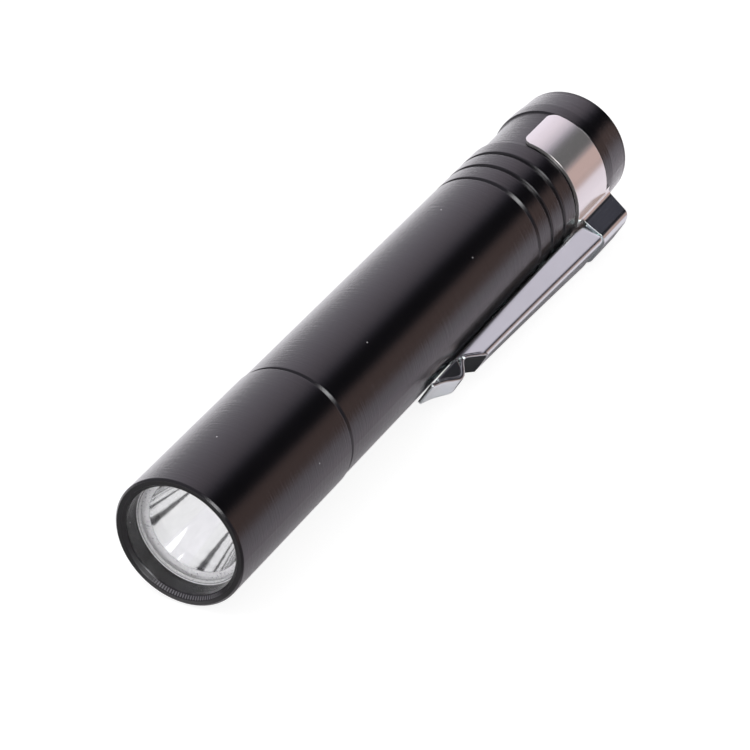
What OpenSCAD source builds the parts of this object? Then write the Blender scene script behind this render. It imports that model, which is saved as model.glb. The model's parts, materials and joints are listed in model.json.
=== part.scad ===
// A penlight lying on its side: the tube axis runs along Y, the lens faces -Y, +Z is up.
// The origin is the centre of the head's rim. All lengths are millimetres.

/* [Head] */
// Outer diameter of the head
head_d = 14.0; // [13.7:0.1:16]
// Length of the head, from its rim to the seam with the body tube
head_len = 21.6; // [21.3:0.1:24]
// Diameter of the mouth at the rim
mouth_d = 12.7; // [12.3:0.1:13.4]
// Diameter of the recess in front of the lens
recess_d = 11.9; // [11:0.1:12.2]
// Depth of the recess, from the rim to the lens gasket
recess_depth = 2.2; // [1.6:0.1:2.6]
// Bore that takes the lens, the reflector and the thread of the body tube
thread_bore_d = 12.5; // [12.4:0.05:12.7]
// Smooth counterbore over each sealing ring
seal_bore_d = 12.9; // [12.8:0.05:13.1]

/* [Optics] */
// Thickness of the gasket in front of the lens
gasket_t = 0.3; // [0.2:0.05:0.5]
// Inner diameter of the gasket
gasket_hole_d = 11.3; // [10.6:0.1:11.8]
// Thickness of the lens
lens_t = 1.0; // [0.8:0.1:1.3]
// Diameter of the reflector's mouth
reflector_mouth_d = 10.1; // [9.4:0.1:10.8]
// Diameter of the hole at the foot of the reflector
reflector_hole_d = 5.0; // [4.6:0.1:5.2]
// Wall of the reflector
reflector_wall = 0.6; // [0.4:0.05:0.7]
// Side of the square light-emitting diode
led_side = 4.9; // [4.4:0.1:4.9]
// Diameter of the dome over the diode
led_dome_d = 3.8; // [3.2:0.1:4.2]

/* [Electronics] */
// Thickness of the board that carries the diode
led_board_t = 1.0; // [0.8:0.1:1.2]
// Diameter of the board that carries the diode
led_board_d = 11.8; // [10.8:0.1:12.1]
// Length of the heat-sinking pill
pill_len = 3.6; // [3.4:0.1:3.8]
// Thickness of the pill's front wall
pill_floor_t = 1.2; // [1:0.1:1.3]
// Thickness of the driver board and the switch board
board_t = 0.8; // [0.6:0.1:0.9]
// Diameter of the driver board
driver_board_d = 11.2; // [10.8:0.1:11.4]
// Wire diameter of the two leads to the diode
lead_d = 0.7; // [0.5:0.05:0.8]
// Distance of each lead from the axis
lead_place_r = 4.4; // [4.2:0.1:4.6]

/* [Body tube] */
// Outer diameter of the body tube and the tail cap
body_d = 13.8; // [13.6:0.1:14]
// Length of the body tube that shows, from the head's seam to the tail cap's seam
body_len = 41.7; // [41.3:0.1:42.1]
// Bore for the battery
battery_bore_d = 10.7; // [10.6:0.05:10.85]
// Length of the smooth shoulder that carries each sealing ring
shoulder_len = 1.9; // [1.7:0.1:2.1]
// Length of the thread behind each shoulder, and how far each thread lets its mate travel
thread_len = 3.75; // [3:0.75:3.75]
// Pitch of both threads
thread_pitch = 0.75; // [0.6:0.05:0.9]
// Depth of both threads
thread_depth = 0.3; // [0.2:0.05:0.35]
// Section diameter of each sealing ring
seal_section_d = 0.7; // [0.6:0.05:0.75]

/* [Battery] */
// Outer diameter of the battery over its jacket
battery_d = 10.5; // [10.2:0.05:10.55]
// Length of the battery with its positive cap
battery_len = 44.5; // [44:0.1:44.7]
// Diameter of the positive cap
battery_nub_d = 3.8; // [3:0.1:4]
// Height of the positive cap above the jacket
battery_nub_h = 0.9; // [0.8:0.05:1]
// Thickness of the battery's jacket
jacket_t = 0.1; // [0.08:0.01:0.15]

/* [Tail cap] */
// Length of the tail cap, from its seam to its rear rim
cap_len = 22.05; // [21.8:0.05:24]
// Diameter of the rear rim
rim_d = 13.3; // [12.9:0.1:13.5]
// Distance of the first grip groove from the seam
groove_place = 3.0; // [2.4:0.1:3.2]
// Distance between the two grip grooves
groove_gap = 3.0; // [2:0.1:3.2]
// Width of a grip groove
groove_w = 0.7; // [0.4:0.05:0.9]
// Depth of a grip groove
groove_depth = 0.3; // [0.15:0.05:0.33]
// Distance of the waist's front edge from the seam
waist_place = 8.85; // [8.6:0.05:9.2]
// Length of the waist that the clip sits in
waist_len = 7.4; // [7.2:0.1:7.6]
// Depth of the waist at its two ends
waist_edge_depth = 0.2; // [0.15:0.05:0.25]
// Depth of the waist at its middle
waist_mid_depth = 0.33; // [0.28:0.01:0.4]
// Length of the full-diameter collar behind the waist
collar_len = 1.8; // [1.4:0.1:2]
// Length of the shoulder from the collar down to the rear rim's diameter
collar_taper_len = 3.4; // [2.4:0.1:3.6]
// Thickness of the end wall that holds the rubber boot
end_wall_t = 1.4; // [1:0.1:1.8]
// Diameter of the chamber that holds the switch
chamber_d = 11.2; // [11.1:0.05:11.5]
// Diameter of the hole for the button
button_hole_d = 9.2; // [8.8:0.1:9.8]

/* [Switch] */
// Length of the switch, base and cover together
switch_len = 9.6; // [9.2:0.1:9.8]
// Wall of the switch base
switch_wall = 1.3; // [1:0.1:1.4]
// Thickness of the switch's front wall and of its cover
switch_end_t = 1.2; // [1:0.1:1.3]
// How far the button travels
press_travel = 1.3; // [1:0.1:1.5]
// Diameter of the plunger's stem
plunger_d = 4.0; // [3.4:0.1:4.4]
// Diameter of the plunger's flange
plunger_flange_d = 7.8; // [7.5:0.1:8]
// Thickness of the plunger's flange
plunger_flange_t = 1.5; // [1.2:0.1:1.8]
// Diameter of the contact plate on the plunger
contact_plate_d = 5.2; // [4.8:0.1:5.6]
// Thickness of the contact plate
contact_plate_t = 0.4; // [0.3:0.05:0.5]
// Thickness of the boot's flange
boot_flange_t = 0.8; // [0.6:0.1:1]
// Wall of the boot
boot_wall = 1.0; // [0.8:0.1:1.2]
// How far the boot stands out behind the rear rim
boot_stand = 0.85; // [0.4:0.05:1.3]
// Thickness of the ring that holds the switch in
retaining_ring_t = 1.2; // [1:0.1:1.4]
// Bore of that ring
retaining_bore_d = 7.2; // [7.1:0.1:7.8]

/* [Clip] */
// Angle of the clip below the horizontal
clip_angle = 30; // [0:5:90]
// Thickness of the clip's sheet
clip_t = 0.4; // [0.3:0.05:0.45]
// Width of the band along the tube
band_w = 6.9; // [6.4:0.1:7.1]
// Angle that the band wraps around the tube
band_wrap = 237; // [200:1:260]
// Radius of the band's end corners
band_corner_r = 1.2; // [0.6:0.1:1.6]
// Width of the band's raised loop
loop_w = 4.4; // [4.2:0.1:4.8]
// Height of the raised loop above the axis
loop_h = 10.3; // [10.2:0.05:10.6]
// Distance from the loop's front edge to the band's front edge
loop_setback = 1.3; // [1:0.1:1.6]
// Width of the arm at its root
arm_root_w = 5.0; // [4.8:0.1:5.4]
// Width of the arm at its tip
arm_tip_w = 3.1; // [2.8:0.1:3.4]
// Length of the arm's channel, from its root to the bend of the hook
arm_len = 26.0; // [24:0.5:27]
// Height of the arm's outer face above the axis, at the root
arm_root_h = 10.05; // [9.9:0.05:10.3]
// Height of the arm's outer face above the axis, at the bend of the hook
arm_tip_h = 9.25; // [9.1:0.05:9.5]
// Radius of the arm's long outer corners
arm_corner_r = 0.5; // [0.45:0.05:0.8]
// Width of the hook
hook_w = 3.0; // [2.6:0.1:3.1]

/* [Hidden] */
$fn = 64;

// Clearances and the overrun of cuts
running_gap = 0.05;
touch_gap = 0.02;
overrun = 1;

// Small edges of the turned parts
rim_chamfer = 0.2;
seam_chamfer = 0.3;
mouth_chamfer_len = 0.45;
shoulder_land = 0.5;
seal_groove_w = seal_section_d + 2 * running_gap;
crest_share = 0.25;
groove_floor_share = 0.6;
waist_steps = 12;
gasket_dish_share = 0.4;
reflector_steps = 24;

head_r = head_d / 2;
body_r = body_d / 2;
rim_r = rim_d / 2;
thread_bore_r = thread_bore_d / 2;
seal_bore_r = seal_bore_d / 2;
chamber_r = chamber_d / 2;
battery_bore_r = battery_bore_d / 2;

// Places along the tube, from the rim
gasket_y = recess_depth;
lens_y = gasket_y + gasket_t;
reflector_y = lens_y + lens_t + touch_gap;
// The pill stops ahead of the seam by how far the tube's threaded end reaches in. The reflector fills the rest
tube_reach = 4.2;
centering_ring_t = 0.9;
pill_end_y = head_len - tube_reach;
pill_y = pill_end_y - pill_len;
led_board_y = pill_y - led_board_t;
reflector_foot_y = led_board_y - centering_ring_t;
reflector_depth = reflector_foot_y - reflector_y;
driver_y = pill_end_y - board_t;
driver_contact_t = 0.6;
driver_contact_y = pill_end_y + driver_contact_t;
battery_y = driver_contact_y + touch_gap;
battery_end_y = battery_y + battery_len;
seam_y = head_len + body_len;
tube_front_y = pill_end_y + touch_gap;
tube_end_y = seam_y + shoulder_len + thread_len;
cap_end_y = seam_y + cap_len;
end_wall_y = cap_end_y - end_wall_t;
boot_y = end_wall_y - boot_flange_t;
switch_y = boot_y - switch_len;
switch_board_y = switch_y - board_t;
retaining_y = switch_board_y - retaining_ring_t;
chamber_y = retaining_y - running_gap;

// Male thread on both ends of the tube
thread_major_r = thread_bore_r - running_gap;
thread_minor_r = thread_major_r - thread_depth;
shoulder_r = seal_bore_r - running_gap;
seal_outer_r = seal_bore_r - touch_gap;
seal_place_r = seal_outer_r - seal_section_d / 2;
seal_groove_r = seal_place_r - seal_section_d / 2 - touch_gap;
seal_groove_mid = shoulder_land + seal_groove_w / 2;

// Reflector: a paraboloid r^2 = 4 f z through the hole and the mouth
mouth_r2 = pow(reflector_mouth_d / 2, 2);
hole_r2 = pow(reflector_hole_d / 2, 2);
reflector_flange_t = 0.8;
reflector_foot_r = 3.15;
optic_r = thread_bore_r - running_gap;

// Driver parts: length, width, height, and place on the board across and up
driver_part_h = 0.5;
driver_part_sizes = [[2.4, 2.4], [1.6, 1.2], [1.2, 0.7], [1.2, 0.7]];
driver_part_places = [[-1.6, 1.4], [1.9, 1.3], [1.7, -0.9], [-0.6, -2.3]];
driver_contact_r = 1.6;
solder_r = 0.6;
solder_h = 0.35;
lead_hole_r = lead_d / 2 + running_gap;
pill_ledge = 0.5;

// Switch
switch_r = chamber_r - running_gap;
switch_cavity_r = switch_r - switch_wall;
switch_floor_y = switch_y + switch_end_t;
switch_cover_y = boot_y - switch_end_t;
plunger_flange_y = switch_cover_y - running_gap - plunger_flange_t;
plunger_tail_r = 1.2;
terminal_head_r = 0.9;
terminal_pin_r = 0.5;
terminal_place = 1.5;
terminal_head_h = 1.2;
terminal_top_y = switch_floor_y + terminal_head_h;
contact_plate_y = terminal_top_y + touch_gap + press_travel;
plunger_tail_y = contact_plate_y - contact_plate_t;
boot_r = button_hole_d / 2 - 2 * running_gap;
boot_top_y = cap_end_y + boot_stand;
boot_corner_r = 1.2;
boot_cavity_r = boot_r - boot_wall;
boot_cavity_y = boot_top_y - boot_wall;
boot_boss_r = 1.6;
boot_boss_h = 0.8;
plunger_end_y = boot_cavity_y - boot_boss_h;

// Springs
spring_wire_r = 0.25;
spring_sides = 8;
spring_steps_per_turn = 20;
spring_flat_turns = 0.9;
tail_spring_turns = 6;
tail_spring_base_r = 3.2;
tail_spring_tip_r = 2.5;
switch_spring_turns = 5;
switch_spring_r = 3.3;

// Clip
waist_y = seam_y + waist_place;
waist_edge_r = body_r - waist_edge_depth;
waist_mid_r = body_r - waist_mid_depth;
band_inner_r = waist_edge_r + running_gap;
band_outer_r = band_inner_r + clip_t;
band_y = waist_y + (waist_len - band_w) / 2;
band_end_y = band_y + band_w;
loop_y = band_y + loop_setback;
loop_corner_r = 1.0;
loop_foot_r = 0.8;
loop_overhang = 1.05;
loop_lean = 0.5;
loop_rear_r = 1.0;
arm_end_y = loop_y - running_gap;
arm_bend_y = arm_end_y - arm_len;
arm_bow = 0.05;
arm_pieces = 8;
arm_corner_step = 15;
arm_end_r = 0.9;
arm_foot_h = body_r - overrun;
flange_lean = 14;
flange_root_h = 7.45;
flange_low_h = body_r + running_gap;
flange_step_h = 7.1;
flange_step_len = 2;
flange_mid_h = 7.0;
flange_mid_share = 0.33;
flange_low_share = 0.75;
flange_nose_len = 4.3;
// The hook's middle line, as distance ahead of the bend and height above the axis
hook_reach = 9.3;
hook_gap = 0.25;
hook_valley_h = body_r + hook_gap + clip_t / 2;
hook_ridge_h = 9.05;
hook_nose_h = 7.75;
hook_tip_h = 7.25;
hook_valley_share = 0.31;
hook_ridge_share = 0.53;
hook_nose_share = 0.81;
hook_side_share = 0.39;
hook_low_h = body_r + hook_gap;
hump_top_h = hook_ridge_h + clip_t;
hump_top_w = 2.1;
hook_bend_share = 0.3;
hook_bend_steps = 4;
hook_points = [
    [0, arm_tip_h - clip_t / 2],
    [hook_reach * hook_valley_share, hook_valley_h],
    [hook_reach * hook_ridge_share, hook_ridge_h],
    [hook_reach * hook_nose_share, hook_nose_h],
    [hook_reach, hook_tip_h]
];

// Solid turned about the tube axis from points [radius, place along the tube]
module turned(points) {
    rotate([-90, 0, 0]) rotate_extrude() polygon(points);
}

// Disc about the tube axis between two places
module disc(y0, y1, r) {
    rotate([-90, 0, 0]) translate([0, 0, y0]) cylinder(h = y1 - y0, r = r);
}

// Ring about the tube axis between two places
module ring(y0, y1, r_in, r_out) {
    difference() {
        disc(y0, y1, r_out);
        disc(y0 - overrun, y1 + overrun, r_in);
    }
}

// Turned rubber ring of round section
module o_ring(y) {
    rotate([-90, 0, 0]) translate([0, 0, y]) rotate_extrude() translate([seal_place_r, 0])
        circle(r = seal_section_d / 2, $fn = 32);
}

// Points [radius, distance from the seam] of a threaded end, from the seam outwards
function threaded_end() = let (turns = floor(thread_len / thread_pitch + crest_share)) concat(
    [
        [shoulder_r, 0], [shoulder_r, shoulder_land], [seal_groove_r, shoulder_land],
        [seal_groove_r, shoulder_land + seal_groove_w], [shoulder_r, shoulder_land + seal_groove_w],
        [shoulder_r, shoulder_len], [thread_minor_r, shoulder_len]
    ],
    [for (i = [0 : turns - 1]) let (s = shoulder_len + (i + crest_share) * thread_pitch) each [
        [thread_minor_r, s], [thread_major_r, s + crest_share * thread_pitch],
        [thread_major_r, s + 2 * crest_share * thread_pitch],
        [thread_minor_r, s + 3 * crest_share * thread_pitch]
    ]]
);

// Helical spring about the tube axis, its end turns flat
function spring_rise(t, flat) = min(max((t - flat) / (1 - 2 * flat), 0), 1);
module spring(y0, y1, r0, r1, turns) {
    steps = turns * spring_steps_per_turn;
    flat = spring_flat_turns / turns;
    points = [for (i = [0 : steps], k = [0 : spring_sides - 1])
        let (
            a = 360 * turns * i / steps,
            b = 360 * k / spring_sides,
            f = spring_rise(i / steps, flat),
            r = r0 + (r1 - r0) * i / steps + spring_wire_r * cos(b),
            y = y0 + spring_wire_r + (y1 - y0 - 2 * spring_wire_r) * f + spring_wire_r * sin(b)
        )
        [r * cos(a), y, r * sin(a)]
    ];
    sides = [for (i = [0 : steps - 1], k = [0 : spring_sides - 1])
        let (j = (k + 1) % spring_sides, p = i * spring_sides, q = p + spring_sides)
        [p + k, p + j, q + j, q + k]
    ];
    first = [for (k = [spring_sides - 1 : -1 : 0]) k];
    last = [for (k = [0 : spring_sides - 1]) steps * spring_sides + k];
    polyhedron(points, concat(sides, [first, last]));
}

module head_shell() {
    color([0.07, 0.07, 0.08]) turned([
        [mouth_d / 2, 0], [head_r - rim_chamfer, 0], [head_r, rim_chamfer],
        [head_r, head_len - seam_chamfer], [head_r - seam_chamfer, head_len],
        [seal_bore_r, head_len], [seal_bore_r, head_len - shoulder_len],
        [thread_bore_r, head_len - shoulder_len], [thread_bore_r, recess_depth],
        [recess_d / 2, recess_depth], [recess_d / 2, mouth_chamfer_len]
    ]);
}

// The gasket's front face is dished towards its hole
module lens_gasket() {
    color([0.85, 0.86, 0.86]) turned([
        [gasket_hole_d / 2, gasket_y + gasket_dish_share * gasket_t], [gasket_hole_d / 2, lens_y],
        [optic_r, lens_y], [optic_r, gasket_y], [recess_d / 2, gasket_y]
    ]);
}

module lens() {
    color([0.9, 0.95, 1, 0.35]) disc(lens_y, lens_y + lens_t, optic_r);
}

// Depth from the mouth at which the paraboloid has radius r, and the other way round
function reflector_r(depth) = sqrt(mouth_r2 - (mouth_r2 - hole_r2) * depth / reflector_depth);

module reflector() {
    inner = [for (i = [0 : reflector_steps])
        let (d = reflector_depth * i / reflector_steps) [reflector_r(d), reflector_y + d]];
    outer = [for (i = [reflector_steps : -1 : 0])
        let (d = reflector_depth * i / reflector_steps)
        if (d > reflector_flange_t)
            [max(reflector_r(d) + reflector_wall, reflector_foot_r), reflector_y + d]];
    color([0.85, 0.86, 0.88]) turned(concat(inner, outer, [
        [reflector_r(reflector_flange_t) + reflector_wall, reflector_y + reflector_flange_t],
        [optic_r, reflector_y + reflector_flange_t], [optic_r, reflector_y]
    ]));
}

module centering_ring() {
    color([0.95, 0.95, 0.93]) difference() {
        disc(reflector_foot_y, led_board_y, reflector_foot_r + reflector_wall);
        translate([0, led_board_y, 0])
            cube([led_side + 2 * running_gap, 4 * overrun, led_side + 2 * running_gap], center = true);
    }
}

led_package_t = 0.7;
led_package_y = led_board_y - led_package_t;
led_dome_step = 7.5;

module led_package() {
    color([0.93, 0.9, 0.75]) translate([-led_side / 2, led_package_y, -led_side / 2])
        cube([led_side, led_package_t, led_side]);
}

module led_dome() {
    color([0.95, 0.93, 0.85, 0.8]) turned(concat(
        [[0, led_package_y]],
        [for (a = [0 : led_dome_step : 90 - led_dome_step])
            [led_dome_d / 2 * cos(a), led_package_y - led_dome_d / 2 * sin(a)]],
        [[0, led_package_y - led_dome_d / 2 * cos(led_dome_step)]]
    ));
}

// Both leads' places, as a sign along X
module at_lead(side) {
    translate([side * lead_place_r, 0, 0]) children();
}

module led_board() {
    color([0.9, 0.9, 0.88]) difference() {
        disc(led_board_y, pill_y, led_board_d / 2);
        for (side = [-1, 1]) at_lead(side) disc(led_board_y - overrun, pill_y + overrun, lead_hole_r);
    }
}

module led_pill() {
    color([0.75, 0.6, 0.3]) difference() {
        disc(pill_y, pill_end_y, optic_r);
        disc(pill_y + pill_floor_t, pill_end_y - board_t, driver_board_d / 2 - pill_ledge);
        disc(pill_end_y - board_t, pill_end_y + overrun, driver_board_d / 2 + running_gap);
        for (side = [-1, 1]) at_lead(side) disc(pill_y - overrun, pill_end_y, lead_hole_r);
    }
}

// One lead, from the driver board through the pill to a soldered end on the diode's board
module led_wire(side, tint) {
    color(tint) at_lead(side) {
        disc(led_board_y - solder_h, driver_y, lead_d / 2);
        disc(led_board_y - solder_h, led_board_y, solder_r);
    }
}

module led_wire_positive() {
    led_wire(1, [0.75, 0.1, 0.1]);
}

module led_wire_negative() {
    led_wire(-1, [0.1, 0.1, 0.1]);
}

module driver_board() {
    color([0.1, 0.4, 0.2]) disc(driver_y, pill_end_y, driver_board_d / 2);
}

module driver_parts() {
    color([0.15, 0.15, 0.16]) for (i = [0 : len(driver_part_sizes) - 1]) {
        size = driver_part_sizes[i];
        place = driver_part_places[i];
        translate([place[0] - size[0] / 2, driver_y - driver_part_h, place[1] - size[1] / 2])
            cube([size[0], driver_part_h, size[1]]);
    }
}

module driver_contact() {
    color([0.8, 0.65, 0.3]) disc(pill_end_y, driver_contact_y, driver_contact_r);
}

module head_o_ring() {
    color([0.05, 0.05, 0.05]) o_ring(head_len - seal_groove_mid);
}

module tail_o_ring() {
    color([0.05, 0.05, 0.05]) o_ring(seam_y + seal_groove_mid);
}

module body_tube() {
    end = threaded_end();
    // The head's end stops at the pill, the tail's end at the thread's length
    front = [for (i = [len(end) - 1 : -1 : 0]) if (head_len - end[i][1] > tube_front_y)
        [end[i][0], head_len - end[i][1]]];
    back = [for (p = end) [p[0], seam_y + p[1]]];
    color([0.07, 0.07, 0.08]) turned(concat(
        [[battery_bore_r, tube_front_y], [thread_minor_r, tube_front_y]], front,
        [
            [body_r - seam_chamfer, head_len], [body_r, head_len + seam_chamfer],
            [body_r, seam_y - seam_chamfer], [body_r - seam_chamfer, seam_y]
        ],
        back, [[thread_minor_r, tube_end_y], [battery_bore_r, tube_end_y]]
    ));
}

battery_r = battery_d / 2;
can_r = battery_r - jacket_t - touch_gap;
jacket_y = battery_y + battery_nub_h;
insulator_t = 0.25;
can_y = jacket_y + jacket_t + insulator_t;
nub_flange_r = 3.0;
insulator_hole_r = battery_nub_d / 2 + running_gap;
jacket_lip_share = 0.45;
jacket_lip_r = insulator_hole_r + (can_r - insulator_hole_r) * jacket_lip_share;

module battery_can() {
    color([0.72, 0.73, 0.75]) disc(can_y, battery_end_y, can_r);
}

module battery_jacket() {
    color([0.2, 0.35, 0.25]) turned([
        [can_r + touch_gap, battery_end_y - jacket_t], [battery_r, battery_end_y - jacket_t],
        [battery_r, jacket_y], [jacket_lip_r, jacket_y], [jacket_lip_r, jacket_y + jacket_t],
        [can_r + touch_gap, jacket_y + jacket_t]
    ]);
}

module battery_insulator() {
    color([0.9, 0.88, 0.8]) ring(jacket_y + jacket_t, can_y, insulator_hole_r, can_r);
}

module battery_positive_cap() {
    color([0.8, 0.81, 0.82]) disc(battery_y, can_y, battery_nub_d / 2);
}

// One grip groove's points, at distance s from the seam
function grip_groove(s) = [
    [body_r, seam_y + s - groove_w / 2],
    [body_r - groove_depth, seam_y + s - groove_w * groove_floor_share / 2],
    [body_r - groove_depth, seam_y + s + groove_w * groove_floor_share / 2],
    [body_r, seam_y + s + groove_w / 2]
];

module tail_cap() {
    waist = [for (i = [0 : waist_steps]) let (t = 2 * i / waist_steps - 1)
        [waist_mid_r + (waist_edge_r - waist_mid_r) * t * t, waist_y + waist_len * i / waist_steps]];
    waist_end_y = waist_y + waist_len;
    color([0.07, 0.07, 0.08]) turned(concat(
        [[seal_bore_r, seam_y], [body_r - seam_chamfer, seam_y], [body_r, seam_y + seam_chamfer]],
        grip_groove(groove_place), grip_groove(groove_place + groove_gap),
        [[body_r, waist_y - waist_edge_depth]], waist,
        [
            [body_r, waist_end_y + waist_edge_depth], [body_r, waist_end_y + collar_len],
            [rim_r, waist_end_y + collar_len + collar_taper_len], [rim_r, cap_end_y - rim_chamfer],
            [rim_r - rim_chamfer, cap_end_y], [button_hole_d / 2 + rim_chamfer, cap_end_y],
            [button_hole_d / 2, cap_end_y - rim_chamfer], [button_hole_d / 2, end_wall_y],
            [chamber_r, end_wall_y], [chamber_r, chamber_y], [thread_bore_r, chamber_y],
            [thread_bore_r, seam_y + shoulder_len], [seal_bore_r, seam_y + shoulder_len]
        ]
    ));
}

spanner_slot_w = 1.2;
spanner_slot_depth = 0.6;

module retaining_ring() {
    color([0.7, 0.71, 0.72]) difference() {
        ring(retaining_y, switch_board_y, retaining_bore_d / 2, switch_r);
        translate([-chamber_d, retaining_y - overrun, -spanner_slot_w / 2])
            cube([2 * chamber_d, spanner_slot_depth + overrun, spanner_slot_w]);
    }
}

// Both terminals' places, as a sign along X
module at_terminal(side) {
    translate([side * terminal_place, 0, 0]) children();
}

module switch_board() {
    color([0.1, 0.4, 0.2]) disc(switch_board_y, switch_y, switch_r);
}

module tail_spring() {
    color([0.8, 0.68, 0.35])
        spring(battery_end_y + touch_gap, switch_board_y, tail_spring_tip_r, tail_spring_base_r,
            tail_spring_turns);
}

module switch_terminals() {
    color([0.8, 0.68, 0.35]) for (side = [-1, 1]) at_terminal(side) {
        disc(switch_y, terminal_top_y, terminal_pin_r);
        disc(switch_floor_y, terminal_top_y, terminal_head_r);
    }
}

module switch_base() {
    color([0.12, 0.12, 0.13]) difference() {
        disc(switch_y, switch_cover_y, switch_r);
        disc(switch_floor_y, switch_cover_y + overrun, switch_cavity_r);
        for (side = [-1, 1]) at_terminal(side)
            disc(switch_y - overrun, switch_floor_y + overrun, terminal_pin_r + touch_gap);
    }
}

module switch_cover() {
    color([0.12, 0.12, 0.13]) ring(switch_cover_y, boot_y, plunger_d / 2 + running_gap, switch_r);
}

module switch_contact_plate() {
    color([0.8, 0.68, 0.35])
        disc(contact_plate_y, contact_plate_y + contact_plate_t, contact_plate_d / 2);
}

module switch_spring() {
    color([0.75, 0.76, 0.78])
        spring(switch_floor_y, plunger_flange_y, switch_spring_r, switch_spring_r, switch_spring_turns);
}

module switch_plunger() {
    color([0.9, 0.9, 0.88]) {
        disc(contact_plate_y + contact_plate_t, plunger_flange_y, plunger_tail_r);
        disc(plunger_flange_y, plunger_flange_y + plunger_flange_t, plunger_flange_d / 2);
        disc(plunger_flange_y, plunger_end_y, plunger_d / 2);
    }
}

module switch_boot() {
    corner = [for (a = [0 : 15 : 90])
        [boot_r - boot_corner_r * (1 - cos(a)), boot_top_y - boot_corner_r * (1 - sin(a))]];
    color([0.05, 0.05, 0.055]) turned(concat(
        [
            [0, plunger_end_y], [boot_boss_r, plunger_end_y], [boot_boss_r, boot_cavity_y],
            [boot_cavity_r, boot_cavity_y], [boot_cavity_r, boot_y], [switch_r, boot_y],
            [switch_r, end_wall_y], [boot_r, end_wall_y]
        ],
        corner, [[0, boot_top_y]]
    ));
}

// The clip is drawn with X as the height above the axis and Z across it, then turned to its angle
module clip_place() {
    rotate([0, clip_angle, 0]) children();
}

// Flat shape in height and place along the tube, given the width w across it
module side_plate(w) {
    translate([0, 0, -w / 2]) linear_extrude(height = w) children();
}

// The same on both sides of the clip
module both_sides() {
    children();
    mirror([0, 0, 1]) children();
}

// Flat shape in height and width, drawn out between two places along the tube
module channel(y0, y1) {
    translate([0, y1, 0]) rotate([90, 0, 0]) linear_extrude(height = y1 - y0) children();
}

// Section from the axis up to height h, of width w, its two outer corners rounded
module rounded_section(h, w, r) {
    translate([0, -w / 2]) square([h - r, w]);
    translate([0, r - w / 2]) square([h, w - 2 * r]);
    for (side = [-1, 1]) translate([h - r, side * (w / 2 - r)]) circle(r = r, $fn = 32);
}

// What rounds one corner of the band's end: the corner is at the origin, the band towards +Y and -Z
module band_corner_cut() {
    difference() {
        translate([-overrun, -overrun, -band_corner_r])
            cube([clip_t + 2 * overrun, band_corner_r + overrun, band_corner_r + overrun]);
        translate([-2 * overrun, band_corner_r - touch_gap, touch_gap - band_corner_r]) rotate([0, 90, 0])
            cylinder(h = clip_t + 4 * overrun, r = band_corner_r);
    }
}

module band_strip() {
    difference() {
        rotate([-90, 0, 0]) translate([0, 0, band_y]) rotate([0, 0, -band_wrap / 2])
            rotate_extrude(angle = band_wrap) translate([band_inner_r, 0]) square([clip_t, band_w]);
        both_sides() rotate([0, -band_wrap / 2, 0]) {
            translate([band_inner_r, band_y, 0]) band_corner_cut();
            translate([band_inner_r, band_end_y, 0]) mirror([0, 1, 0]) band_corner_cut();
        }
    }
}

// Rounded foot where the band's sheet turns up into the loop, on one side
module loop_foot() {
    outer_w = loop_w / 2 + loop_foot_r;
    foot_h = sqrt(pow(band_outer_r, 2) - pow(outer_w, 2));
    difference() {
        translate([foot_h - loop_foot_r, loop_w / 2 - clip_t]) square([2 * loop_foot_r, loop_foot_r + clip_t]);
        translate([foot_h + loop_foot_r - touch_gap, outer_w]) circle(r = loop_foot_r);
    }
}

// What leans the loop's rear edge forwards and rounds its upper corner
module loop_rear_cut() {
    foot_y = band_end_y + loop_overhang;
    rear_y = foot_y - loop_lean;
    corner_h = loop_h - loop_rear_r;
    back_h = band_outer_r - overrun * (corner_h - band_outer_r) / loop_lean;
    side_plate(band_outer_r) polygon(concat(
        [[back_h, foot_y + overrun]],
        [for (a = [90 : -15 : 15]) [corner_h + loop_rear_r * cos(a), rear_y - loop_rear_r * (1 - sin(a))]],
        [[loop_h + overrun, rear_y - loop_rear_r - overrun], [loop_h + overrun, foot_y + overrun]]
    ));
}

module loop_hollow() {
    channel(band_y - overrun, band_end_y + loop_overhang + overrun)
        rounded_section(loop_h - clip_t, loop_w - 2 * clip_t, loop_corner_r - clip_t);
}

module clip_band() {
    color([0.8, 0.8, 0.81]) clip_place() {
        difference() {
            band_strip();
            loop_hollow();
        }
        difference() {
            channel(loop_y, band_end_y + loop_overhang) {
                rounded_section(loop_h, loop_w, loop_corner_r);
                loop_foot();
                mirror([0, 1]) loop_foot();
            }
            loop_hollow();
            disc(band_y - overrun, band_end_y + loop_overhang + overrun, band_inner_r + clip_t / 2);
            loop_rear_cut();
        }
    }
}

// Height and width of the arm at a distance from its root, the height bowed a little towards the tube
function arm_h(s) = arm_root_h - (arm_root_h - arm_tip_h) * s / arm_len
    - 4 * arm_bow * s / arm_len * (1 - s / arm_len);
function arm_w(s) = arm_root_w - (arm_root_w - arm_tip_w) * s / arm_len;

// How far the rounded rear end draws the arm's section in
function arm_end_inset(s, r) = r - sqrt(pow(r, 2) - pow(max(r - s, 0), 2));

// Corners [height, width] of the arm's section at a distance from its root, thinner than the arm by t.
// Below the rounded corners its two flanges lean towards each other
function arm_section(s, t) = let (
    inset = t + arm_end_inset(s - t, arm_end_r - t),
    h = arm_h(s) - inset,
    w = arm_w(s) / 2 - inset,
    r = arm_corner_r - t,
    corner = [for (a = [0 : arm_corner_step : 90]) [h - r + r * cos(a), w - r + r * sin(a)]],
    foot = w - (h - r - arm_foot_h) * tan(flange_lean)
) concat(
    corner, [[arm_foot_h, foot], [arm_foot_h, -foot]],
    [for (i = [len(corner) - 1 : -1 : 0]) [corner[i][0], -corner[i][1]]]
);

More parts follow.
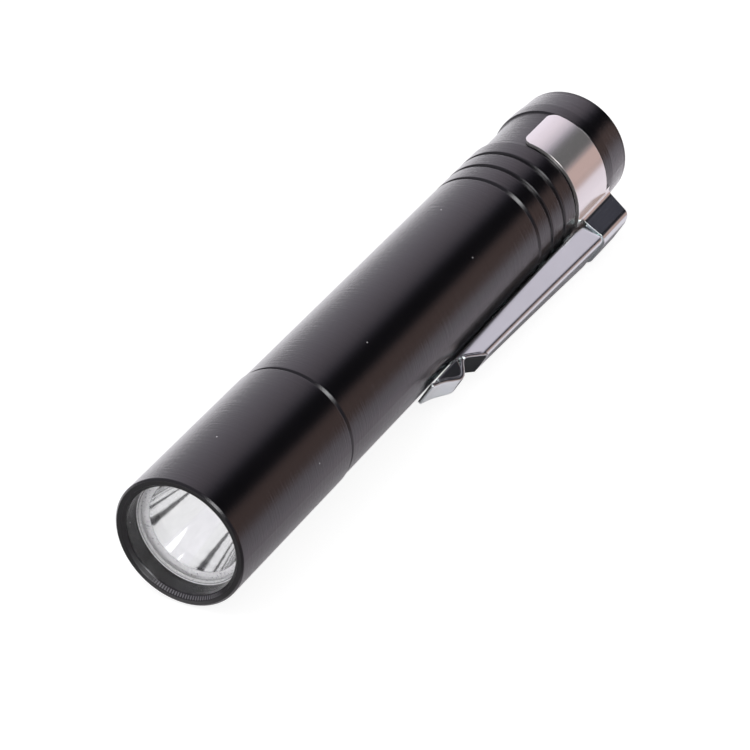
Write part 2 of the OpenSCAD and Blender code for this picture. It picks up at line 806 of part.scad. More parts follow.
// Tapering bar under the arm's outer face, thinner by t all round, its rear end rounded
module arm_bar(last, t) {
    end_r = arm_end_r - t;
    places = concat(
        [for (a = [0 : arm_corner_step : 90 - arm_corner_step]) t + end_r * (1 - cos(a))],
        [for (i = [0 : arm_pieces]) arm_end_r + (last - arm_end_r) * i / arm_pieces]
    );
    sections = [for (s = places) [for (p = arm_section(s, t)) [p[0], arm_end_y - s, p[1]]]];
    count = len(sections[0]);
    end = len(sections) - 1;
    sides = [for (i = [0 : end - 1], k = [0 : count - 1])
        let (j = (k + 1) % count, p = i * count, q = p + count) each [[p + k, q + k, p + j], [p + j, q + k, q + j]]];
    polyhedron([for (part = sections) each part], concat(sides, [
        [for (k = [0 : count - 1]) k], [for (k = [count - 1 : -1 : 0]) end * count + k]
    ]));
}

// Points of a round bend at p between its neighbours a and b
function bend(a, p, b) = let (q = p + (a - p) * hook_bend_share, r = p + (b - p) * hook_bend_share)
    [for (i = [0 : hook_bend_steps]) let (u = i / hook_bend_steps)
        (1 - u) * (1 - u) * q + 2 * u * (1 - u) * p + u * u * r];

// Points at a distance d to one side of a line
function beside(line, d) = [for (i = [0 : len(line) - 1])
    let (way = line[min(i + 1, len(line) - 1)] - line[max(i - 1, 0)])
    line[i] + d * [way[1], -way[0]] / norm(way)];

// Section under the hump's sides, which lean towards each other upwards, thinner by t on each side.
// It reaches lower than the hook by the given distance
module hump_section(t, lower) {
    slope = (hook_w - hump_top_w) / 2 / (hump_top_h - hook_low_h);
    top = hump_top_w / 2 - t;
    foot = hook_w / 2 - t + slope * lower;
    polygon([[hump_top_h, top], [hook_low_h - lower, foot], [hook_low_h - lower, -foot], [hump_top_h, -top]]);
}

// Flat shape in distance ahead of the bend and height, as wide as the hook
module hook_plate(points) {
    side_plate(hook_w) polygon([for (p = points) [p[1], arm_bend_y - p[0]]]);
}

// The hook: a strip of even thickness with round bends. Ahead of its valley it narrows upwards to a hump
// with both sides folded down
module hook_strip() {
    last = len(hook_points) - 1;
    line = concat(
        [hook_points[0]],
        [for (i = [1 : last - 1]) each bend(hook_points[i - 1], hook_points[i], hook_points[i + 1])],
        [hook_points[last]]
    );
    under = beside(line, -clip_t / 2);
    hump = [for (p = line) if (p[0] > hook_reach * hook_side_share && p[0] < hook_reach) p];
    hump_end = hump[len(hump) - 1][0];
    front_y = arm_bend_y - hook_reach - overrun;
    valley_y = arm_bend_y - hook_reach * hook_valley_share;
    intersection() {
        hook_plate(concat(beside(line, clip_t / 2), [for (i = [len(line) - 1 : -1 : 0]) under[i]]));
        union() {
            channel(valley_y, arm_bend_y + overrun) translate([0, -hook_w]) square([2 * arm_root_h, 2 * hook_w]);
            channel(front_y, valley_y + touch_gap) hump_section(0, 2 * overrun);
        }
    }
    intersection() {
        hook_plate(concat(hump, [[hump_end, hook_low_h], [hook_reach * hook_side_share, hook_low_h]]));
        difference() {
            channel(front_y, valley_y) hump_section(running_gap, overrun);
            channel(front_y - overrun, valley_y + overrun) hump_section(running_gap + clip_t, 2 * overrun);
        }
    }
}

// The arm's side: the lower edge of its flanges falls towards the tube, and they end in a slanted nose
module arm_side() {
    valley = hook_points[1];
    bend_h = arm_tip_h - clip_t / 2;
    web_end_y = arm_bend_y - clip_t / 4;
    polygon([
        [arm_root_h + overrun, arm_end_y + overrun], [flange_root_h, arm_end_y + overrun],
        [flange_root_h, arm_end_y], [flange_step_h, arm_end_y - flange_step_len],
        [flange_mid_h, arm_end_y - arm_len * flange_mid_share],
        [flange_low_h, arm_end_y - arm_len * flange_low_share],
        [flange_low_h, arm_bend_y - flange_nose_len], [valley[1], arm_bend_y - valley[0]],
        [bend_h, web_end_y], [arm_root_h + overrun, web_end_y]
    ]);
}

module clip_arm() {
    color([0.8, 0.8, 0.81]) clip_place() {
        difference() {
            intersection() {
                arm_bar(arm_len + hook_reach, 0);
                side_plate(2 * arm_root_w) arm_side();
            }
            arm_bar(arm_len + hook_reach + overrun, clip_t);
        }
        hook_strip();
    }
}

head_shell();
lens_gasket();
lens();
reflector();
centering_ring();
led_package();
led_dome();
led_board();
led_pill();
led_wire_positive();
led_wire_negative();
driver_board();
driver_parts();
driver_contact();
head_o_ring();
body_tube();
battery_can();
battery_jacket();
battery_insulator();
battery_positive_cap();
tail_o_ring();
tail_cap();
retaining_ring();
switch_board();
tail_spring();
switch_terminals();
switch_base();
switch_cover();
switch_contact_plate();
switch_spring();
switch_plunger();
switch_boot();
clip_band();
clip_arm();
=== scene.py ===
import json
import math

import bpy
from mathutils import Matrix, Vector


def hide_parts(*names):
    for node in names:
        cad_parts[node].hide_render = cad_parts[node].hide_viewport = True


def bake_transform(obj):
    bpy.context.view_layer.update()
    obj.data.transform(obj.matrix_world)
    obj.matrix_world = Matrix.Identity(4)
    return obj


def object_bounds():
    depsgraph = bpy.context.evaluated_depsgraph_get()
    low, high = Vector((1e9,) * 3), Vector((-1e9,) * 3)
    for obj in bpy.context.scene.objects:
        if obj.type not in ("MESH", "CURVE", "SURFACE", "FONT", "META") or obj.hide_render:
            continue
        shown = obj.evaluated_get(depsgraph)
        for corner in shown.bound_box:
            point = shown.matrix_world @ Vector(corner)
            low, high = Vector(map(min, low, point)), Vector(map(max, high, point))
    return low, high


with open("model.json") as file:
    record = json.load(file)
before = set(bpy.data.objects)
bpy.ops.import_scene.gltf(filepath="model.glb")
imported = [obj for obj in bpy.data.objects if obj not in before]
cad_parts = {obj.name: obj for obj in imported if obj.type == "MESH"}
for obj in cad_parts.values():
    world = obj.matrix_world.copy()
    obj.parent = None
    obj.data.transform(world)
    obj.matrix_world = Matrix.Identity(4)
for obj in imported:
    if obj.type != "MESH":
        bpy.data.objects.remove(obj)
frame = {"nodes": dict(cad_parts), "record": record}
cad_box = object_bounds()

WHITE = (1.0, 1.0, 1.0)

# Sizes on the part, in metres
TUBE_RADIUS = 0.007

# Radii that soften the sharp edges
TUBE_EDGE = 0.00012
ARM_EDGE = 0.00030
BAND_EDGE = 0.00008

# Distances from the tube's axis: worn steel is polished beyond the first and satin within the second
SATIN_EDGES = (0.0075, 0.0072)

# The reflector is bright within the first of these distances and matt beyond the second
REFLECTOR_RIM = (0.00502, 0.00508)

# Rings, by the distances where each starts and is full, and where it stops being full and ends
MOUTH_CHAMFER = (0.00600, 0.00606, 0.00628, 0.00634)
# The gasket's two rings are painted shade: dark lines that stand in for fine grooves
GASKET_GROOVE_SHADE = (0.00576, 0.00579, 0.00580, 0.00583)
GASKET_LINE_SHADE = (0.00556, 0.00558, 0.00562, 0.00565)

# How far behind the rim the mouth's chamfer may lie
MOUTH_DEPTH = 0.0006

# Cutter marks low on the mouth's chamfer: the angles in radians where they start and are full, how many there
# are in each radian, and the share of each step that is marked
CHATTER_ANGLES = (-2.15, -1.95, -0.95, -0.7)
CHATTER_STEPS = 22.0
CHATTER_SHARE = 0.4

# Scales that draw a pattern out around the tube, or along it
AROUND_TUBE = (0.03, 1.0, 0.03)
ALONG_TUBE = (1.0, 0.05, 1.0)

# Camera, from the photograph: its place from the rim's centre, its view direction, and its angle of view
CAMERA_PLACE = (0.151925, -0.245454, 0.207420)
CAMERA_DIRECTION = (-0.39397, 0.73821, -0.54756)
FOCAL_PIXELS = 3775.8
PHOTO_PIXELS = 750
SENSOR_MM = 36.0

# What the polished surfaces mirror above the floor, by the angle around the tube from +X up over +Z
SURROUNDINGS = [
    (-180, (1.30, 1.26, 1.34)),
    (-12, (0.50, 0.38, 0.38)),
    (-2, (0.47, 0.325, 0.30)),
    (23, (0.47, 0.325, 0.30)),
    (31, (0.12, 0.10, 0.11)),
    (37, (0.014, 0.013, 0.017)),
    (58, (0.014, 0.013, 0.017)),
    (66, (0.045, 0.042, 0.056)),
    (74, (0.22, 0.20, 0.25)),
    (82, (0.48, 0.43, 0.50)),
    (96, (0.70, 0.62, 0.71)),
    (120, (0.88, 0.80, 0.92)),
    (150, (0.96, 0.91, 1.01)),
    (168, (1.10, 1.06, 1.14)),
    (180, (1.30, 1.26, 1.34)),
]

# What faces turned towards the front mirror, by the same angle
FRONT_SURROUNDINGS = [
    (-180, (0.42, 0.40, 0.45)),
    (0, (0.22, 0.20, 0.24)),
    (38, (0.22, 0.20, 0.24)),
    (47, (5.0, 5.0, 5.1)),
    (60, (5.0, 5.0, 5.1)),
    (68, (0.22, 0.20, 0.24)),
    (110, (0.36, 0.34, 0.40)),
    (180, (0.42, 0.40, 0.45)),
]

# What the reflector mirrors through the lens, by the same angle
THROUGH_LENS = [
    (-180, (1.14, 1.13, 1.16)),
    (-90, (1.02, 1.01, 1.04)),
    (0, (1.14, 1.13, 1.16)),
    (180, (1.14, 1.13, 1.16)),
]

# The front tones fade in from the first to the second of these, by how far a direction points along the tube
FRONT_EDGE = (0.1, -0.1)

# Light from all around on matt surfaces, and the share that is added for those behind the lens
SKY_LIGHT = 0.75
BEHIND_LENS = 1.3

# The middle of the tube, which the lamps aim at and the floor lies under
MIDDLE = (0, 0.04, 0)

# The floor as the camera sees it: a grey that takes the shadows, and a glow that brings the rest to white
FLOOR_SIZE = 4.0
FLOOR_GREY = (0.24, 0.24, 0.24)
FLOOR_GLOW = 0.87

# What the polished surfaces mirror from the floor, by the distance in metres sideways from the tube. These
# tones are painted light and shade, on top of the shadows that really fall on the floor
FLOOR_MIRRORED = [
    (-0.040, (1.50, 1.46, 1.54)),
    (-0.008, (1.20, 1.18, 1.22)),
    (0.0045, (1.45, 1.40, 1.46)),
    (0.008, (1.10, 1.04, 1.11)),
    (0.012, (0.92, 0.84, 0.92)),
    (0.020, (0.80, 0.73, 0.81)),
    (0.040, (0.74, 0.66, 0.73)),
    (0.060, (0.52, 0.41, 0.43)),
    (0.090, (0.48, 0.34, 0.32)),
]

# Shaded patches of that floor: the places in metres where each starts and is full, sideways and lengthways,
# and how much light it keeps. One lies ahead of the head, and the others go with the clip
HEAD_SHADE = ((-0.2, -0.19, 0.05, 0.06), (-0.09, -0.08, -0.004, 0.001), 0.30)
CLIP_SHADE = [
    ((0.003, 0.0055, 0.0095, 0.012), (0.050, 0.053, 0.080, 0.090), 0.42),
    ((0.004, 0.0060, 0.0105, 0.012), (0.0442, 0.0450, 0.0490, 0.0500), 0.05),
]

# Heights where the clip's patches start and are full, and stop and end, as the clip itself has them
CLIP_SHADE_HEIGHTS = (-0.0100, -0.0090, -0.0055, -0.0045)

# Side of the square lamps in metres, and the place and power of each
LAMP_SIZE = 0.5
LAMPS = {
    "key": ((-0.25, -0.15, 0.6), 1.2),
    "fill": ((0.45, -0.25, 0.35), 0.5),
}


class Nodes:
    """A material or world being wired up, with short calls for its nodes."""

    def __init__(self, tree):
        self.tree = tree

    def add(self, kind, inputs=None, **settings):
        node = self.tree.nodes.new(kind)
        for name, value in settings.items():
            setattr(node, name, value)
        for name, value in (inputs or {}).items():
            self.put(node.inputs[name], value)
        return node

    def put(self, socket, value):
        """Link a socket, or set a value. A colour may leave out its alpha, which is 1."""
        if isinstance(value, bpy.types.NodeSocket):
            self.tree.links.new(value, socket)
        elif socket.type == "RGBA" and len(value) == 3:
            socket.default_value = (*value, 1.0)
        else:
            socket.default_value = value

    def math(self, operation, first, second=0.0):
        node = self.add("ShaderNodeMath", operation=operation)
        self.put(node.inputs[0], first)
        self.put(node.inputs[1], second)
        return node.outputs[0]

    def product(self, *factors):
        value = factors[0]
        for factor in factors[1:]:
            value = self.math("MULTIPLY", value, factor)
        return value

    def ramp(self, value, stops):
        """Colour ramp over the fraction value, from (place, colour) stops."""
        node = self.add("ShaderNodeValToRGB", {"Fac": value})
        elements = node.color_ramp.elements
        while len(elements) > 1:
            elements.remove(elements[0])
        for i, (place, colour) in enumerate(stops):
            element = elements[0] if i == 0 else elements.new(place)
            element.position = place
            element.color = (*colour, 1.0)
        return node.outputs["Color"]

    def noise(self, vector, scale, detail=2.0, roughness=0.5):
        inputs = {"Vector": vector, "Scale": scale, "Detail": detail, "Roughness": roughness}
        return self.add("ShaderNodeTexNoise", inputs).outputs["Fac"]

    def fraction(self, value, edges, **settings):
        """0 at the first edge and before it, 1 at the second and past it."""
        inputs = {"Value": value, "From Min": edges[0], "From Max": edges[1]}
        return self.add("ShaderNodeMapRange", inputs, **settings).outputs["Result"]

    def spread(self, value, low, high):
        """From low to high as the fraction value goes from 0 to 1."""
        node = self.add("ShaderNodeMapRange", {"Value": value, "To Min": low, "To Max": high})
        return node.outputs["Result"]

    def between(self, value, edges):
        """1 between the two inner edges, falling smoothly to 0 at the outer ones."""
        rise = self.fraction(value, (edges[0], edges[1]), interpolation_type="SMOOTHSTEP")
        fall = self.fraction(value, (edges[3], edges[2]), interpolation_type="SMOOTHSTEP")
        return self.product(rise, fall)

    def mix(self, share, first, second):
        """Colour mixed from the first to the second."""
        node = self.add("ShaderNodeMix", data_type="RGBA")
        self.put(node.inputs[0], share)
        self.put(node.inputs[6], first)
        self.put(node.inputs[7], second)
        return node.outputs[2]

    def either(self, share, first, second):
        """The first shader where share is 0, and the second where it is 1."""
        node = self.add("ShaderNodeMixShader", {"Fac": share})
        self.put(node.inputs[1], first)
        self.put(node.inputs[2], second)
        return node.outputs[0]

    def place(self, **settings):
        """Place as the piece itself has it, or as the object that is given has it."""
        return self.add("ShaderNodeTexCoord", **settings).outputs["Object"]

    def stretched(self, vector, scale):
        return self.add("ShaderNodeMapping", {"Vector": vector, "Scale": scale}).outputs["Vector"]

    def apart(self, vector):
        return self.add("ShaderNodeSeparateXYZ", {"Vector": vector}).outputs

    def angle(self, parts):
        """Angle around the tube from +X up over +Z, in radians."""
        return self.math("ARCTAN2", parts["Z"], parts["X"])

    def across(self, place):
        """Distance from the tube's axis."""
        parts = self.apart(place)
        flat = self.add("ShaderNodeCombineXYZ", {"X": parts["X"], "Z": parts["Z"]}).outputs[0]
        return self.add("ShaderNodeVectorMath", {0: flat}, operation="LENGTH").outputs["Value"]

    def worn_edges(self, radius):
        """Normal that rounds sharp edges by a radius."""
        return self.add("ShaderNodeBevel", {"Radius": radius}, samples=6).outputs["Normal"]

    def bump(self, height, strength, distance, normal=None):
        node = self.add("ShaderNodeBump", {"Height": height, "Strength": strength, "Distance": distance})
        if normal is not None:
            self.put(node.inputs["Normal"], normal)
        return node.outputs["Normal"]


def new_material(name):
    material = bpy.data.materials.new(name)
    material.use_nodes = True
    nodes = Nodes(material.node_tree)
    shader = material.node_tree.nodes["Principled BSDF"]
    return material, nodes, shader


def marks(nodes, place, scale, turn, stretch, size):
    """1 on a few small marks scattered over the tube's surface, each drawn out along one direction."""
    parts = nodes.apart(place)
    around = nodes.math("MULTIPLY", nodes.angle(parts), TUBE_RADIUS)
    sheet = nodes.add("ShaderNodeCombineXYZ", {"X": around, "Y": parts["Y"]}).outputs[0]
    turned = nodes.add("ShaderNodeMapping", {"Vector": sheet, "Rotation": (0.0, 0.0, turn)}).outputs[0]
    inputs = {"Vector": nodes.stretched(turned, (stretch, 1.0, 1.0)), "Scale": scale}
    cells = nodes.add("ShaderNodeTexVoronoi", inputs, voronoi_dimensions="2D")
    return nodes.math("LESS_THAN", cells.outputs["Distance"], size * scale)


def mouth_chamfer(nodes, place):
    """1 on the chamfer around the mouth."""
    ring = nodes.between(nodes.across(place), MOUTH_CHAMFER)
    return nodes.product(ring, nodes.math("LESS_THAN", nodes.apart(place)["Y"], MOUTH_DEPTH))


def chatter(nodes, place, chamfer):
    """1 on the short cutter marks low on the mouth's chamfer."""
    angle = nodes.angle(nodes.apart(place))
    low = nodes.between(angle, CHATTER_ANGLES)
    steps = nodes.math("FRACT", nodes.math("MULTIPLY", angle, CHATTER_STEPS))
    return nodes.product(low, chamfer, nodes.math("LESS_THAN", steps, CHATTER_SHARE))


def black_anodised():
    """Black anodised aluminium with turning lines around it, a few scratches and specks."""
    material, nodes, shader = new_material("black_anodised")
    place = nodes.place()
    around = nodes.stretched(place, AROUND_TUBE)
    lines = nodes.noise(around, scale=9000.0, detail=3.0, roughness=0.6)
    turning = nodes.noise(around, scale=5200.0, detail=3.0, roughness=0.6)
    grain = nodes.noise(place, scale=9000.0, detail=2.0, roughness=0.6)
    smudge = nodes.noise(place, scale=160.0, detail=4.0, roughness=0.6)
    tone = nodes.ramp(smudge, [(0.3, (0.0028, 0.0026, 0.0034)), (0.75, (0.0042, 0.0037, 0.0047))])
    scratches = nodes.math(
        "MAXIMUM",
        marks(nodes, place, scale=95.0, turn=0.5, stretch=0.10, size=0.00003),
        marks(nodes, place, scale=120.0, turn=-0.9, stretch=0.08, size=0.00002),
    )
    specks = marks(nodes, place, scale=75.0, turn=0.0, stretch=1.0, size=0.00007)
    chamfer = mouth_chamfer(nodes, place)
    tone = nodes.mix(scratches, tone, (0.055, 0.052, 0.06))
    tone = nodes.mix(specks, tone, (0.55, 0.54, 0.56))
    tone = nodes.mix(chatter(nodes, place, chamfer), tone, (0.20, 0.19, 0.21))
    nodes.put(shader.inputs["Base Color"], tone)
    rough = nodes.math("ADD", nodes.spread(lines, 0.11, 0.18), nodes.product(chamfer, 0.35))
    nodes.put(shader.inputs["Roughness"], rough)
    shader.inputs["IOR"].default_value = 1.66
    fine = nodes.bump(grain, strength=0.35, distance=0.00003, normal=nodes.worn_edges(TUBE_EDGE))
    nodes.put(shader.inputs["Normal"], nodes.bump(turning, strength=0.55, distance=0.00005, normal=fine))
    return material


def steel(name, edge, worn):
    """Polished sheet steel with a fine grain along the tube and edges rounded by edge.
    Where worn, what lies close around the tube is rubbed to a satin finish."""
    material, nodes, shader = new_material(name)
    place = nodes.place()
    grain = nodes.noise(nodes.stretched(place, ALONG_TUBE), scale=7000.0, detail=3.0, roughness=0.6)
    cloud = nodes.noise(place, scale=300.0, detail=3.0, roughness=0.5)
    tone = nodes.ramp(cloud, [(0.3, (0.79, 0.85, 0.845)), (0.7, (0.83, 0.89, 0.885))])
    rough = nodes.spread(grain, 0.10, 0.17)
    shader.inputs["Metallic"].default_value = 1.0
    if worn:
        satin = nodes.fraction(nodes.across(place), SATIN_EDGES)
        nodes.put(shader.inputs["Metallic"], nodes.math("SUBTRACT", 1.0, nodes.product(satin, 0.14)))
        rough = nodes.math("ADD", rough, nodes.product(satin, 0.02))
        tone = nodes.mix(satin, tone, (0.95, 0.925, 0.91))
    nodes.put(shader.inputs["Base Color"], tone)
    nodes.put(shader.inputs["Roughness"], rough)
    bump = nodes.bump(grain, strength=0.05, distance=0.00001, normal=nodes.worn_edges(edge))
    nodes.put(shader.inputs["Normal"], bump)
    return material


def bright_reflector():
    """A metallised cup with a matt speckled flange around it."""
    material, nodes, shader = new_material("bright_reflector")
    place = nodes.place()
    peel = nodes.noise(place, scale=900.0, detail=3.0, roughness=0.5)
    speckle = nodes.noise(place, scale=5200.0, detail=2.0, roughness=0.7)
    tone = nodes.ramp(peel, [(0.3, (0.90, 0.90, 0.905)), (0.7, (0.94, 0.94, 0.945))])
    matt = nodes.ramp(speckle, [(0.32, (0.40, 0.39, 0.42)), (0.38, (0.95, 0.94, 0.97)), (0.60, WHITE)])
    rim = nodes.fraction(nodes.across(place), REFLECTOR_RIM)
    nodes.put(shader.inputs["Base Color"], nodes.mix(rim, tone, matt))
    nodes.put(shader.inputs["Metallic"], nodes.math("SUBTRACT", 1.0, rim))
    nodes.put(shader.inputs["Roughness"], nodes.math("ADD", 0.06, nodes.product(rim, 0.4)))
    nodes.put(shader.inputs["Normal"], nodes.bump(peel, strength=0.1, distance=0.00004))
    return material


def clear_lens():
    material, nodes, shader = new_material("clear_lens")
    haze = nodes.noise(nodes.place(), scale=700.0)
    nodes.put(shader.inputs["Roughness"], nodes.spread(haze, 0.0, 0.03))
    nodes.put(shader.inputs["Base Color"], WHITE)
    shader.inputs["Transmission Weight"].default_value = 1.0
    shader.inputs["IOR"].default_value = 1.5
    return material


def pale_gasket():
    """Pale rubber with two dark rings around it, painted shade that stands in for fine grooves."""
    material, nodes, shader = new_material("pale_gasket")
    place = nodes.place()
    grain = nodes.noise(place, scale=3800.0, detail=2.0, roughness=0.6)
    radius = nodes.across(place)
    pale = nodes.ramp(grain, [(0.3, (0.74, 0.73, 0.76)), (0.6, (0.97, 0.97, 0.98))])
    # Painted shade: two dark rings where grooves would lie
    pale = nodes.mix(nodes.between(radius, GASKET_LINE_SHADE), pale, (0.25, 0.24, 0.27))
    pale = nodes.mix(nodes.between(radius, GASKET_GROOVE_SHADE), pale, (0.10, 0.09, 0.11))
    nodes.put(shader.inputs["Base Color"], pale)
    nodes.put(shader.inputs["Roughness"], nodes.spread(grain, 0.25, 0.4))
    nodes.put(shader.inputs["Normal"], nodes.bump(grain, strength=0.3, distance=0.00003))
    return material


def plain(name, dark, light, roughness, metallic=0.0, strength=0.1, transmission=0.0):
    """A material with a mottled tone between two colours and a fine bump."""
    material, nodes, shader = new_material(name)
    grain = nodes.noise(nodes.place(), scale=1500.0, detail=4.0, roughness=0.6)
    nodes.put(shader.inputs["Base Color"], nodes.ramp(grain, [(0.3, dark), (0.7, light)]))
    nodes.put(shader.inputs["Roughness"], nodes.spread(grain, roughness * 0.85, roughness * 1.15))
    shader.inputs["Metallic"].default_value = metallic
    shader.inputs["Transmission Weight"].default_value = transmission
    nodes.put(shader.inputs["Normal"], nodes.bump(grain, strength, distance=0.00003))
    return material


# Dark and light tone, roughness, and what else differs
PLAIN_MATERIALS = [
    ("white_plastic", (0.78, 0.78, 0.75), (0.86, 0.86, 0.83), 0.45, {}),
    ("diode_body", (0.88, 0.87, 0.84), (0.93, 0.92, 0.90), 0.4, {}),
    ("diode_dome", (0.90, 0.89, 0.84), (0.95, 0.94, 0.90), 0.12, {"transmission": 0.2}),
    ("white_board", (0.80, 0.80, 0.79), (0.86, 0.86, 0.85), 0.4, {}),
    ("brass", (0.68, 0.50, 0.22), (0.74, 0.57, 0.27), 0.3, {"metallic": 1.0}),
    ("gold_contact", (0.80, 0.62, 0.28), (0.86, 0.69, 0.34), 0.2, {"metallic": 1.0}),
    ("spring_steel", (0.62, 0.62, 0.64), (0.70, 0.70, 0.72), 0.25, {"metallic": 1.0}),
    ("red_lead", (0.50, 0.03, 0.03), (0.58, 0.05, 0.04), 0.35, {}),
    ("black_lead", (0.015, 0.015, 0.016), (0.025, 0.025, 0.026), 0.35, {}),
    ("green_board", (0.02, 0.12, 0.05), (0.03, 0.16, 0.07), 0.3, {}),
    ("black_parts", (0.012, 0.012, 0.013), (0.022, 0.022, 0.024), 0.45, {}),
    ("seal_rubber", (0.010, 0.010, 0.010), (0.018, 0.018, 0.018), 0.55, {}),
    ("boot_rubber", (0.012, 0.012, 0.012), (0.022, 0.021, 0.021), 0.6, {"strength": 0.3}),
    ("nickel", (0.62, 0.62, 0.63), (0.70, 0.70, 0.71), 0.25, {"metallic": 1.0}),
    ("jacket_film", (0.05, 0.14, 0.08), (0.07, 0.18, 0.10), 0.25, {}),
    ("card", (0.66, 0.62, 0.50), (0.74, 0.70, 0.58), 0.7, {}),
    ("bare_aluminium", (0.66, 0.66, 0.67), (0.74, 0.74, 0.75), 0.3, {"metallic": 1.0}),
]

MATERIALS = {
    "black_anodised": black_anodised(),
    "polished_steel": steel("polished_steel", ARM_EDGE, worn=False),
    "satin_steel": steel("satin_steel", BAND_EDGE, worn=True),
    "bright_reflector": bright_reflector(),
    "clear_lens": clear_lens(),
    "pale_gasket": pale_gasket(),
}

for slot, dark, light, roughness, others in PLAIN_MATERIALS:
    MATERIALS[slot] = plain(slot, dark, light, roughness, **others)


def dress_nodes():
    """Each CAD node gets the material of its slot in the record."""
    for entry in frame["record"]["subparts"]:
        mesh = frame["nodes"][entry["node"]].data
        mesh.materials.clear()
        mesh.materials.append(MATERIALS[entry["material_slot"]])


def add_boot():
    """The rubber boot, copied into an object of its own, with its CAD node hidden."""
    mesh = frame["nodes"]["switch_boot"].data.copy()
    boot = bpy.data.objects.new("button_boot", mesh)
    bpy.context.collection.objects.link(boot)
    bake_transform(boot)
    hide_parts("switch_boot")


def by_angle(tones):
    """Ramp stops over a whole turn, from (degrees, colour) pairs."""
    return [((degrees + 180) / 360, colour) for degrees, colour in tones]


def add_world():
    """Plain light for matt surfaces, and the studio's tones for what is mirrored."""
    world = bpy.data.worlds.new("studio")
    world.use_nodes = True
    bpy.context.scene.world = world
    nodes = Nodes(world.node_tree)
    world.node_tree.nodes.clear()

    parts = nodes.apart(nodes.add("ShaderNodeTexCoord").outputs["Generated"])
    turn = nodes.math("ADD", nodes.math("DIVIDE", nodes.angle(parts), 2 * math.pi), 0.5)
    others = nodes.ramp(turn, by_angle(SURROUNDINGS))
    front = nodes.ramp(turn, by_angle(FRONT_SURROUNDINGS))
    mirrored = nodes.mix(nodes.fraction(parts["Y"], FRONT_EDGE), others, front)

    rays = nodes.add("ShaderNodeLightPath").outputs
    passed = rays["Is Transmission Ray"]
    through = nodes.mix(passed, WHITE, nodes.ramp(turn, by_angle(THROUGH_LENS)))
    after_matt = nodes.product(passed, nodes.math("MINIMUM", rays["Diffuse Depth"], 1.0))
    strength = nodes.math("ADD", 1.0, nodes.product(after_matt, BEHIND_LENS))

    sky = nodes.add("ShaderNodeBackground", {"Color": WHITE, "Strength": SKY_LIGHT}).outputs[0]
    glossy = nodes.add("ShaderNodeBackground", {"Color": mirrored, "Strength": 1.0}).outputs[0]
    white = nodes.add("ShaderNodeBackground", {"Color": through, "Strength": strength}).outputs[0]
    unseen = nodes.either(rays["Is Glossy Ray"], sky, glossy)
    seen = nodes.math("MAXIMUM", rays["Is Camera Ray"], passed)
    nodes.add("ShaderNodeOutputWorld", {"Surface": nodes.either(seen, unseen, white)})


def floor_tones(nodes):
    """What mirrors see of the floor, with its shaded patches."""
    parts = nodes.apart(nodes.add("ShaderNodeNewGeometry").outputs["Position"])
    by_clip = nodes.apart(nodes.place(object=frame["nodes"]["clip_arm"]))
    first, last = FLOOR_MIRRORED[0][0], FLOOR_MIRRORED[-1][0]
    stops = [((x - first) / (last - first), colour) for x, colour in FLOOR_MIRRORED]
    # Painted light and shade of the floor, seen only in mirrors
    tones = nodes.ramp(nodes.fraction(parts["X"], (first, last)), stops)
    height = nodes.between(by_clip["Z"], CLIP_SHADE_HEIGHTS)
    patches = [(parts, [], HEAD_SHADE)] + [(by_clip, [height], patch) for patch in CLIP_SHADE]
    for at, limits, (side_edges, length_edges, kept) in patches:
        side = nodes.between(at["X"], side_edges)
        length = nodes.between(at["Y"], length_edges)
        inside = nodes.product(side, length, *limits)
        light = nodes.math("SUBTRACT", 1.0, nodes.product(inside, 1.0 - kept))
        tones = nodes.add("ShaderNodeVectorMath", {0: tones, "Scale": light}, operation="SCALE").outputs[0]
    return tones


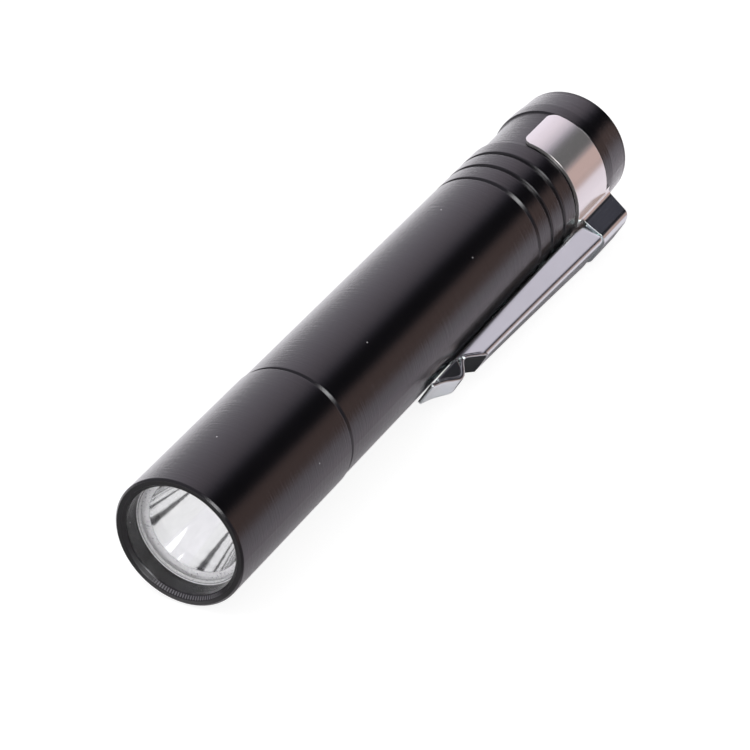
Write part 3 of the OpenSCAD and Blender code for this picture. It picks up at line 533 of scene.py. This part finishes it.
def add_floor():
    """A pale floor. It shows white where no shadow falls, and mirrors see its own tones, with its shadows."""
    bpy.ops.mesh.primitive_plane_add(size=FLOOR_SIZE, location=(MIDDLE[0], MIDDLE[1], cad_box[0][2]))
    floor = bpy.context.object
    floor.name = "floor"
    material = bpy.data.materials.new("floor")
    material.use_nodes = True
    nodes = Nodes(material.node_tree)
    material.node_tree.nodes.clear()

    rays = nodes.add("ShaderNodeLightPath").outputs
    passed = rays["Is Transmission Ray"]
    seen = nodes.math("MAXIMUM", rays["Is Camera Ray"], passed)
    glow = nodes.add("ShaderNodeEmission", {"Color": WHITE, "Strength": nodes.product(seen, FLOOR_GLOW)})
    shown = nodes.add("ShaderNodeAddShader")
    nodes.put(shown.inputs[0], nodes.add("ShaderNodeBsdfDiffuse", {"Color": FLOOR_GREY}).outputs[0])
    nodes.put(shown.inputs[1], glow.outputs[0])

    mirrored = nodes.add("ShaderNodeBsdfDiffuse", {"Color": floor_tones(nodes)}).outputs[0]
    by_mirror = nodes.product(rays["Is Glossy Ray"], nodes.math("SUBTRACT", 1.0, passed))
    surface = nodes.either(by_mirror, shown.outputs[0], mirrored)
    nodes.add("ShaderNodeOutputMaterial", {"Surface": surface})
    floor.data.materials.append(material)


def add_lamp(name, place, power):
    """A soft square lamp aimed at the middle of the tube."""
    lamp = bpy.data.lights.new(name, "AREA")
    lamp.shape = "SQUARE"
    lamp.size = LAMP_SIZE
    lamp.energy = power
    holder = bpy.data.objects.new(name, lamp)
    holder.location = place
    aim = Vector(MIDDLE) - Vector(place)
    holder.rotation_euler = aim.to_track_quat("-Z", "Y").to_euler()
    holder.visible_glossy = False
    bpy.context.collection.objects.link(holder)


def add_camera():
    camera = bpy.data.cameras.new("camera")
    camera.sensor_width = SENSOR_MM
    camera.lens = SENSOR_MM * FOCAL_PIXELS / PHOTO_PIXELS
    holder = bpy.data.objects.new("camera", camera)
    holder.location = CAMERA_PLACE
    holder.rotation_euler = Vector(CAMERA_DIRECTION).to_track_quat("-Z", "Y").to_euler()
    bpy.context.collection.objects.link(holder)
    bpy.context.scene.camera = holder


dress_nodes()
add_boot()
add_world()
add_floor()
for name, (place, power) in LAMPS.items():
    add_lamp(name, place, power)
add_camera()

cycles = bpy.context.scene.cycles
cycles.max_bounces = 24
cycles.glossy_bounces = 12
cycles.transmission_bounces = 16

view = bpy.context.scene.view_settings
view.view_transform = "Standard"
